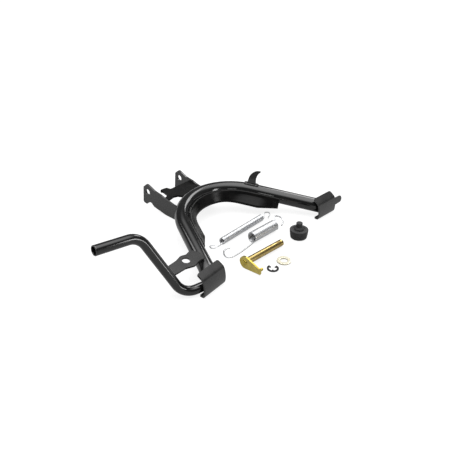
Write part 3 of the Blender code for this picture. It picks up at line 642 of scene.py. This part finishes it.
def addFoot(name, cadNode, sign, farEdge, nudge=0.0, taller=1.0):
    # sheet points: x runs from the inner edge to the outer edge, (y, z) along the profile
    v = np.linspace(0, 1, 41)[None, :]
    x = sign * (lowEdge[:, None] * (1 - v) + farEdge[:, None] * v)
    outer = np.stack([x, np.broadcast_to(footOuter[:, :1], x.shape),
                      np.broadcast_to(footOuter[:, 1:], x.shape)], -1)
    inward = np.stack([np.zeros(len(footNormal)), footNormal[:, 0], footNormal[:, 1]], 1)
    inner = outer + inward[:, None] * footSet["sheet"]
    shellGrid = np.concatenate([outer, inner[:, ::-1]], axis=1)
    turn = sign * math.radians(footSet["toe"])  # toes out about its own middle
    away = shellGrid - [sign * footSet["centre"], footSet["soleY"], 0.0]
    shellGrid[..., 0] += away[..., 0] * (math.cos(turn) - 1) - away[..., 1] * math.sin(turn)
    shellGrid[..., 1] += away[..., 1] * (math.cos(turn) - 1) + away[..., 0] * math.sin(turn)
    shellGrid[..., 0] += nudge
    shellGrid[..., 2] *= taller
    foot = addGrid(name, shellGrid, plateEnamelPaintedLight, cadNode, closeV=True, caps=False)
    closeHoles(foot)
    soften(foot, footSet["edge"], 3, 40)


addFoot("footLeft", "foot_left", 1, highEdge, taller=1.02)
addFoot("footRight", "foot_right", -1, highEdge + tongueEdge, nudge=0.0028, taller=1.04)
print("stand: feet")

# Foot lever
leverSet = {"radius": 0.0078, "wall": 0.0015, "bend": 0.029, "around": 44, "step": 0.0022,
            "skip": 0.006, "lip": 0.0004,
            "corners": [(0.1597, 0.2790, 0.0135), (0.2053, 0.2594, 0.0052),
                        (0.2469, 0.2164, 0.1094), (0.3175, 0.2076, 0.1157)]}
leverAxis = bentLine(leverSet["corners"], leverSet["bend"], leverSet["step"])
leverAxis = leverAxis[arcLength(leverAxis) > leverSet["skip"]]
leverDir, leverSide, leverUp = carried(leverAxis, np.array([0.0, 0.0, 1.0]))
lip = leverSet["lip"]
endPull = leverDir[-1] * lip
outerPath = np.vstack([leverAxis[:-1], leverAxis[-1] - endPull, leverAxis[-1]])
outerRadius = np.full(len(outerPath), leverSet["radius"])
outerRadius[-1] -= lip
innerRadius = np.full(len(outerPath), leverSet["radius"] - leverSet["wall"])
innerRadius[-1] += lip
sideRows = np.vstack([leverSide, leverSide[-1:]])
upRows = np.vstack([leverUp, leverUp[-1:]])
leverOuter = rings(outerPath, sideRows, upRows, outerRadius, leverSet["around"])
leverInner = rings(outerPath, sideRows, upRows, innerRadius, leverSet["around"])
addGrid("footLever", np.concatenate([leverOuter, leverInner[::-1]]), tubeEnamel, "foot_lever",
        closeU=True, caps=False)
print("stand: lever")

# Brace plate between leg and lever, lying in the frame's tilt
braceSet = {"ridge": 0.01342, "thickness": 0.003, "hole": 0.0066, "centre": (0.1727, 0.2332), "edge": 0.0005}


def onBrace(x, y, r=0.0):
    # floor plan point carried into the tilted plane
    return (x, (y - frameApex[1] - braceSet["ridge"] * math.sin(tilt)) / math.cos(tilt), r)


braceOutline = roundedOutline([onBrace(*row) for row in (
    (0.2034, 0.2250, 0.004), (0.1854, 0.2238, 0.008), (0.1724, 0.2200, 0.010),
    (0.1627, 0.2232, 0.008), (0.1494, 0.2195, 0.005), (0.1414, 0.2340, 0.005),
    (0.1459, 0.2480, 0.004), (0.1559, 0.2462, 0.008), (0.1704, 0.2508, 0.010),
    (0.1859, 0.2458, 0.008), (0.2185, 0.2457, 0.001), (0.2130, 0.2378, 0.001))])
braceHole = onBrace(*braceSet["centre"])
addPlate("leverBrace", [braceOutline, circleLoop(braceHole[0], braceHole[1], braceSet["hole"])],
         braceSet["thickness"],
         [frameApex + frameLift * braceSet["ridge"], [1, 0, 0], frameDown, frameLift],
         plateEnamelPaintedLight, "lever_brace", braceSet["edge"])
print("stand: brace")

# Spring hook tab: a claw stood on the right leg, its top leaning outwards
hookSet = {"run": arcHalf - 0.0050, "sheet": 0.0035, "rise": 0.0245, "bend": 0.006,
           "turn": 28, "tip": 0.0155, "top": 0.0408, "edge": 0.0006}
hookBase = besideTube(-hookSet["run"], 0, 0)
legDir = unit(besideTube(-arcHalf - 0.05, 0, 0) - besideTube(-arcHalf, 0, 0))
legOut = np.cross(frameLift, legDir)
hookTurn = math.radians(hookSet["turn"])
a = np.linspace(0, hookTurn, 17)
arc = np.stack([hookSet["bend"] * (1 - np.cos(a)), hookSet["rise"] + hookSet["bend"] * np.sin(a)], 1)
hookLine = np.vstack([[0.0, tubeSet["radius"] - 0.0003], arc,
                      arc[-1] + hookSet["tip"] * np.array([math.sin(hookTurn), math.cos(hookTurn)])])
hookLine = resample(hookLine, 0.0003)
hookNormal = unit(np.gradient(hookLine, axis=0))[:, ::-1] * [1, -1]
# back and front edges of the claw as (along the leg, height)
edgeStep = 0.0003
backEdge = softCurve([(-0.0085, 0.010), (-0.0080, 0.020), (-0.0062, 0.0290), (-0.0038, 0.0333),
                      (0.0, 0.0370), (0.0040, 0.0393), (0.0085, 0.0405),
                      (0.0125, hookSet["top"])], edgeStep)
frontEdge = softCurve([(0.0085, 0.010), (0.0080, 0.018), (0.0074, 0.0230), (0.0076, 0.0290),
                       (0.0086, 0.0330), (0.0104, 0.0362), (0.0122, 0.0378), (0.0133, 0.0396),
                       (0.0125, hookSet["top"])], edgeStep)
height = hookLine[:, 1] * (hookSet["top"] / hookLine[-1, 1])
v = np.linspace(0, 1, 41)[None]
backX = np.interp(height, backEdge[:, 1], backEdge[:, 0])[:, None]
frontX = np.interp(height, frontEdge[:, 1], frontEdge[:, 0])[:, None]
along = backX * (1 - v) + frontX * v


def hookSkin(shift):
    line = hookLine + hookNormal * shift
    return (hookBase + along[..., None] * legDir + line[:, :1, None] * legOut
            + line[:, 1:, None] * frameLift)


hookGrid = np.concatenate([hookSkin(hookSet["sheet"] / 2), hookSkin(-hookSet["sheet"] / 2)[:, ::-1]], axis=1)
springHook = addGrid("springHook", hookGrid, plateEnamelPaintedLight, "spring_hook", closeV=True, caps=False)
closeHoles(springHook)
soften(springHook, hookSet["edge"], 3, 40)
print("stand: hook tab")

# Welds: beads of overlapping ripples laid along a path
weldSet = {"pitch": 0.0022, "ripple": 0.16, "around": 18, "step": 0.00035, "onTube": 0.0131,
           "hook": 0.0024, "ear": 0.0019, "foot": 0.0019, "tack": 0.0011, "brace": 0.0016}


def addBead(name, points, size, seed):
    # round section whose radius swells once per ripple, tapered at both ends
    path = softCurve(points, weldSet["step"])
    s = arcLength(path)
    wobble = 0.06 * np.sin(s / 0.0061 + seed) + 0.05 * np.sin(s / 0.0023 + 2.1 * seed)
    phase = (s / weldSet["pitch"] + seed) % 1.0
    swellUp = weldSet["ripple"] * (np.sqrt(np.clip(1 - (phase - 0.35) ** 2 / 0.42, 0, 1)) - 0.6)
    ends = np.sqrt(np.clip(np.minimum(s, s[-1] - s) / size, 0.0004, 1))
    _, side, up = carried(path, np.array([0.13, 0.21, 0.97]))
    grid = rings(path, side, up, size * (1 + swellUp + wobble) * ends, weldSet["around"])
    return addGrid(name, grid, weldEnamel)


for sign in (-1, 1):
    addBead("hookWeld" + ("Out" if sign > 0 else "In"),
            [hookBase + legDir * t + legOut * sign * 0.0026 + frameLift * weldSet["onTube"]
             for t in (-0.0145, -0.007, 0.0, 0.007, 0.0145)], weldSet["hook"], 1.3 + sign)
for label, sign in (("Left", 1), ("Right", -1)):
    for face, off in (("Out", 0.0027), ("In", -0.0027)):
        x = sign * (earSet["offset"] + off)
        lean = np.linspace(-0.75, 0.62, 7)
        centreRun = tubeSet["bend"] * math.asin(abs(x) / tubeSet["bend"]) * sign
        middle = besideTube(centreRun, 0, 0)
        ring = [middle + [0, 0.0146 * math.sin(q), -0.0133 * math.cos(q)] for q in lean]
        addBead("earWeld" + label + face, [[x, p[1], p[2]] for p in ring], weldSet["ear"],
                2.0 + sign + off * 90)
legSide = unit(np.cross(legDir * [-1, 1, 1], frameLift))
q = np.linspace(-0.9, 0.9, 9)[:, None]
for label, sign in (("Left", 1), ("Right", -1)):
    mid = besideTube(sign * (legEnd - 0.006), 0, 0)
    ring = mid + weldSet["onTube"] * (np.sin(q) * legSide + np.cos(q) * frameLift)
    ring[:, 1] = np.interp(ring[:, 2], footInner[::-1, 1], footInner[::-1, 0]) - 0.0012
    addBead("footWeld" + label, ring, weldSet["foot"], 0.7 + sign)
for label, sign in (("Left", 1), ("Right", -1)):
    for part, (near, far) in enumerate(((0.128, 0.160), (0.060, 0.082))):
        q = np.linspace(near, far, 7) * sign
        addBead("gussetTack" + label + str(part), besideTube(q, 0.0134, 0.0052), weldSet["tack"],
                3.1 * part + sign)
for k, rows in enumerate((((0.1515, 0.2206), (0.1462, 0.2262), (0.1428, 0.2325)),
                         ((0.1421, 0.2362), (0.1435, 0.2420), (0.1457, 0.2467)))):
    flat = np.array([onBrace(*row)[:2] for row in rows])
    addBead("braceWeld" + str(k), frameApex + flat[:, :1] * [1.0, 0, 0] + flat[:, 1:] * frameDown
            + frameLift * 0.0132, weldSet["brace"], 1.1 + k)
leverBead = np.array([0.2138, 0.2412, 0.0388])
leverBeadRun = np.linspace(-1, 1, 5)[:, None] * 0.0045 * np.array([0.45, 0.9, -0.12])
addBead("braceLeverWeld", leverBead + leverBeadRun, weldSet["foot"], 2.7)
print("stand: welds")


# Springs: hook, close turns and hook in one run of wire
def addSpring(name, cadNode, settings):
    # coil: first + (last - first) n + r (level cos a + up sin a), a = start + 2 pi turns n
    first, last = np.array(settings["ends"][0]), np.array(settings["ends"][1])
    wire, turns, hooks = settings["wire"], settings["turns"], settings["hooks"]
    axis = unit(last - first)
    level = unit(np.cross([0, 0, 1.0], axis))
    up = np.cross(axis, level)
    radius = (settings["outside"] - wire) / 2
    n = np.linspace(0, 1, turns * settings["perTurn"] + 1)
    angle = settings["startTurn"] + 2 * math.pi * turns * n
    coil = (first + (last - first) * n[:, None]
            + radius * (level * np.cos(angle)[:, None] + up * np.sin(angle)[:, None]))
    lead = softCurve(np.vstack([hooks[0], coil[0], coil[2]]), wire * 0.45)[:-3]
    tail = softCurve(np.vstack([coil[-3], coil[-1], hooks[1]]), wire * 0.45)[3:]
    path = np.vstack([lead, coil[3:-3], tail])
    keep = np.concatenate([[True], np.linalg.norm(np.diff(path, axis=0), axis=1) > wire * 0.1])
    path = path[keep]
    _, side, rise = carried(path, np.array([0.1, 0.2, 0.97]))
    size = np.full(len(path), wire / 2)
    size[[0, -1]] *= 0.8
    return addGrid(name, rings(path, side, rise, size, 10), zincWire, cadNode)


longSpringSet = {
    "ends": [(0.0532, 0.2018, 0.00645), (-0.0622, 0.2013, 0.00645)],
    "outside": 0.0127, "wire": 0.0020, "turns": 55, "startTurn": math.pi, "perTurn": 20,
    "hooks": [[(0.0690, 0.2000, 0.0045), (0.0735, 0.1955, 0.0045), (0.0785, 0.1970, 0.0050),
               (0.0805, 0.2020, 0.0055), (0.0775, 0.2070, 0.0062), (0.0700, 0.2086, 0.0066),
               (0.0610, 0.2080, 0.0066)],
              [(-0.0700, 0.2010, 0.0118), (-0.0790, 0.2010, 0.0105), (-0.0840, 0.2030, 0.0075),
               (-0.0820, 0.2055, 0.0045), (-0.0730, 0.2085, 0.0030)]]}
shortSpringSet = {
    "ends": [(0.0130, 0.2372, 0.0101), (-0.0485, 0.2408, 0.0101)],
    "outside": 0.0201, "wire": 0.0026, "turns": 23, "startTurn": math.pi + 0.5, "perTurn": 28,
    "hooks": [[(0.0568, 0.2245, 0.0040), (0.0660, 0.2218, 0.0040), (0.0748, 0.2255, 0.0040),
               (0.0810, 0.2330, 0.0040), (0.0826, 0.2402, 0.0040), (0.0780, 0.2454, 0.0042),
               (0.0680, 0.2476, 0.0045), (0.0480, 0.2484, 0.0055), (0.0280, 0.2474, 0.0064)],
              [(-0.0610, 0.2325, 0.0185), (-0.0705, 0.2325, 0.0165), (-0.0755, 0.2375, 0.0130),
               (-0.0715, 0.2445, 0.0095), (-0.0600, 0.2495, 0.0075)]]}
addSpring("longSpring", "long_spring", longSpringSet)
addSpring("shortSpring", "short_spring", shortSpringSet)
print("stand: springs")

# Pivot pin, flag plate, washer and clip
pinSet = {"head": np.array([0.0814, 0.2800, 0.0113]), "radius": 0.006, "length": 0.096,
          "groove": 0.0011, "flag": 0.0226, "reach": 0.0328, "sheet": 0.003}
pinLevel = unit([-0.9995, 0.0300, 0.0])
# the far end rests on the floor while the flag holds up the head
pinDrop = (pinSet["flag"] / 2 - pinSet["radius"]) / pinSet["length"]
pinDir = unit(pinLevel - np.array([0, 0, pinDrop]))
r, length = pinSet["radius"], pinSet["length"]
inGroove = r - pinSet["groove"]
pinProfile = softProfile([(0.0, length), (r - 0.0015, length), (r, length - 0.0016),
                          (r, length - 0.006), (inGroove, length - 0.0061),
                          (inGroove, length - 0.0075), (r, length - 0.0076),
                          (r, 0.0004), (0.0, 0.0004)], 0.0003, 3)
addTurned("pivotPin", pinProfile, pinSet["head"], pinDir, yellowPassivate, "pivot_pin", 64)
head, reach = pinSet["flag"] / 2, pinSet["reach"]
q = np.radians(np.linspace(75, 270, 36))
flagOutline = np.vstack([np.stack([head * np.cos(q), head * np.sin(q)], 1), roundedOutline([
    (reach - 0.0015, -head, 0.003), (reach, -head + 0.0035, 0.002), (reach, 0.0005, 0.0015),
    (reach - 0.0035, 0.0024, 0.002)])])
flagPlace = [pinSet["head"], np.cross(pinLevel, [0, 0, 1]), [0, 0, 1], -pinLevel]
addPlate("pinFlag", [flagOutline], pinSet["sheet"], flagPlace, flagPassivate, "pin_flag", 0.0005)
tabOutline = roundedOutline([(reach - 0.0034, -0.0040, 0.0008), (reach, -0.0040, 0.0008),
                             (reach, 0.0004, 0.0008), (reach - 0.0034, 0.0010, 0.0008)])
tabPlace = [pinSet["head"] + pinLevel * 0.0045] + flagPlace[1:]
addPlate("flagTab", [tabOutline], 0.0052, tabPlace, flagPassivate, None, 0.0003)
addTurned("flagRivet", softProfile([(0.0, 0.0017), (0.0032, 0.0015), (0.0045, 0.0006), (0.0047, -0.001),
                                    (0.0, -0.001)], 0.0005),
          pinSet["head"] - pinLevel * pinSet["sheet"], -pinLevel, flagPassivate, None, 48)
washerSet = {"inside": 0.0064, "middle": 0.0092, "outside": 0.0124, "thickness": 0.0023,
             "edge": 0.00035}
inside, middle, outside, thick = (washerSet[key] for key in ("inside", "middle", "outside", "thickness"))
washerProfile = softProfile([(middle, thick), (outside, thick), (outside, 0.0), (inside, 0.0),
                             (inside, thick), (middle, thick)], washerSet["edge"], 4)[:-1]
addTurned("washer", washerProfile, washerSpot, (0, 0, 1), palePassivate, "washer", 72, True)

# Retaining clip: degrees round from the middle of its opening, three lugs inside the ring
clipSet = {"ring": 0.0100, "bore": 0.00675, "seat": 0.00455, "open": 217, "thickness": 0.0017,
           "gap": 38, "lugs": (46, 180, 314), "edge": 0.00022}
opened = math.radians(clipSet["open"])
turned = np.radians(np.linspace(clipSet["gap"], 360 - clipSet["gap"], 61)) + opened
ringLoop = np.stack([clipSet["ring"] * np.cos(turned), clipSet["ring"] * np.sin(turned)], 1)
swing = np.linspace(360 - clipSet["gap"], clipSet["gap"], 115)
turned = np.radians(swing) + opened
near = np.min([np.abs(swing - lug) for lug in clipSet["lugs"]], axis=0)
r = clipSet["bore"] + (clipSet["seat"] - clipSet["bore"]) * (1 - smoothStep(10.0, 16.0, near))
innerLoop = np.stack([r * np.cos(turned), r * np.sin(turned)], 1)
addPlate("eClip", [np.vstack([ringLoop, innerLoop])], clipSet["thickness"],
         [[0.0548, 0.3154, 0.0], [1, 0, 0], [0, 1, 0], [0, 0, 1]], blackOxide, "e_clip", clipSet["edge"])

# Rubber bump stop
stopPad = softProfile([
    (0.0, 0.0302), (0.0057, 0.0302), (0.0057, 0.0220), (0.0069, 0.0206), (0.0086, 0.0187),
    (0.0086, 0.0158), (0.0114, 0.0158), (0.0114, 0.0172), (0.0168, 0.0172), (0.0165, 0.0115),
    (0.0150, 0.0016), (0.0136, 0.0), (0.0, 0.0)], 0.0012, 5)
addTurned("bumpStop", stopPad, (-0.0568, 0.2898, 0.0), (0, 0, 1), bumpRubber, "bump_stop", 72)
print("stand: hardware")

# Camera, lamps and floor
cameraSet = {"place": (0.66014, 0.73905, 0.50292), "lens": 43.166, "shiftX": 0.0004,
             "right": (-0.6576, 0.7533, 0.0), "up": (-0.3739, -0.3264, 0.8681)}
camera = bpy.data.objects.new("camera", bpy.data.cameras.new("camera"))
bpy.context.scene.collection.objects.link(camera)
camera.data.sensor_width = 36.0
camera.data.lens = cameraSet["lens"]
camera.data.clip_start = 0.01
camera.data.shift_x = cameraSet["shiftX"]
right = unit(cameraSet["right"])
upward = unit(np.array(cameraSet["up"]) - right * (right @ np.array(cameraSet["up"])))
turnMatrix = Matrix(np.stack([right, upward, np.cross(right, upward)], 1).tolist()).to_4x4()
turnMatrix.translation = Vector(np.array(cameraSet["place"]) + layoutShift)
camera.matrix_world = turnMatrix
bpy.context.scene.camera = camera

lampSet = {
    "overhead": {"place": (0.0, -0.02, 1.35), "aim": (0.0, 0.12, 0.0), "size": (0.4, 0.4), "power": 1.6},
    "sideStrip": {"place": (-0.30, 1.35, 0.30), "aim": (0.1, 0.15, 0.05), "size": (0.20, 0.50), "power": 2.3},
    "backSoft": {"place": (-0.84, 0.04, 0.74), "aim": (0.1, 0.15, 0.0), "size": (0.40, 0.40), "power": 2.2},
    "sideSoft": {"place": (0.41, -0.70, 0.63), "aim": (0.1, 0.15, 0.0), "size": (0.30, 0.30), "power": 0.8},
}
for name, values in lampSet.items():
    lamp = bpy.data.lights.new(name, "AREA")
    lamp.shape = "RECTANGLE"
    lamp.size, lamp.size_y = values["size"]
    lamp.energy = values["power"]
    holder = bpy.data.objects.new(name, lamp)
    bpy.context.scene.collection.objects.link(holder)
    place = Vector(np.array(values["place"]) + layoutShift)
    aim = Vector(np.array(values["aim"]) + layoutShift)
    facing = (aim - place).to_track_quat("-Z", "Y")
    holder.matrix_world = Matrix.Translation(place) @ facing.to_matrix().to_4x4()

world = bpy.data.worlds.new("studio")
bpy.context.scene.world = world
world.use_nodes = True
tree = world.node_tree
background = tree.nodes["Background"]
background.inputs["Color"].default_value = (1.0, 1.0, 1.0, 1.0)
# a lit ceiling that fades out towards the walls and a pale line at the horizon, each as two
# heights and the levels there; the camera itself sees plain white
roomSet = {"ceiling": (0.62, 0.96, 0.10, 3.0), "horizon": (0.02, 0.10, 0.5, 0.0)}
worldCoords = tree.nodes.new("ShaderNodeTexCoord")
worldAxes = tree.nodes.new("ShaderNodeSeparateXYZ")
tree.links.new(worldCoords.outputs["Generated"], worldAxes.inputs[0])


def heightBand(low, high, levelLow, levelHigh):
    band = tree.nodes.new("ShaderNodeMapRange")
    band.interpolation_type = "SMOOTHSTEP"
    for label, value in (("From Min", low), ("From Max", high), ("To Min", levelLow),
                         ("To Max", levelHigh)):
        band.inputs[label].default_value = value
    tree.links.new(worldAxes.outputs["Z"], band.inputs["Value"])
    return band.outputs[0]


room = maths(tree, "ADD", heightBand(*roomSet["ceiling"]), heightBand(*roomSet["horizon"]))
cameraRay = tree.nodes.new("ShaderNodeLightPath").outputs["Is Camera Ray"]
toWhite = maths(tree, "MULTIPLY", cameraRay, maths(tree, "SUBTRACT", 1.0, room))
strength = maths(tree, "ADD", toWhite, room)
tree.links.new(strength, background.inputs["Strength"])

floorSet = {"half": 6.0, "drop": 0.0005, "grey": 0.2, "white": 0.86, "mirrored": 0.30}
floorMesh = bpy.data.meshes.new("floor")
floorCorners = [(x * floorSet["half"], y * floorSet["half"], -floorSet["drop"])
                for x, y in ((-1, -1), (1, -1), (1, 1), (-1, 1))]
floorMesh.from_pydata(floorCorners, [], [(0, 1, 2, 3)])
floor = bpy.data.objects.new("floor", floorMesh)
bpy.context.scene.collection.objects.link(floor)
paper = bpy.data.materials.new("paper")
paper.use_nodes = True
tree = paper.node_tree
shader = tree.nodes["Principled BSDF"]
shader.inputs["Base Color"].default_value = (floorSet["grey"], floorSet["grey"], floorSet["grey"], 1)
shader.inputs["Roughness"].default_value = 0.9
shader.inputs["Specular IOR Level"].default_value = 0.0
paths = tree.nodes.new("ShaderNodeLightPath")
seen = maths(tree, "MAXIMUM", paths.outputs["Is Camera Ray"],
             maths(tree, "MAXIMUM", paths.outputs["Is Glossy Ray"], paths.outputs["Is Transmission Ray"]))
shader.inputs["Emission Color"].default_value = (1, 1, 1, 1)
# the camera sees white paper; reflections see it at about a third, as in the photo's dark paint
forCamera = maths(tree, "MULTIPLY", paths.outputs["Is Camera Ray"],
                  floorSet["white"] - floorSet["mirrored"])
glow = maths(tree, "ADD", forCamera, maths(tree, "MULTIPLY", seen, floorSet["mirrored"]))
tree.links.new(glow, shader.inputs["Emission Strength"])
floorMesh.materials.append(paper)

bpy.context.scene.view_settings.view_transform = "Standard"
print("stand: done")
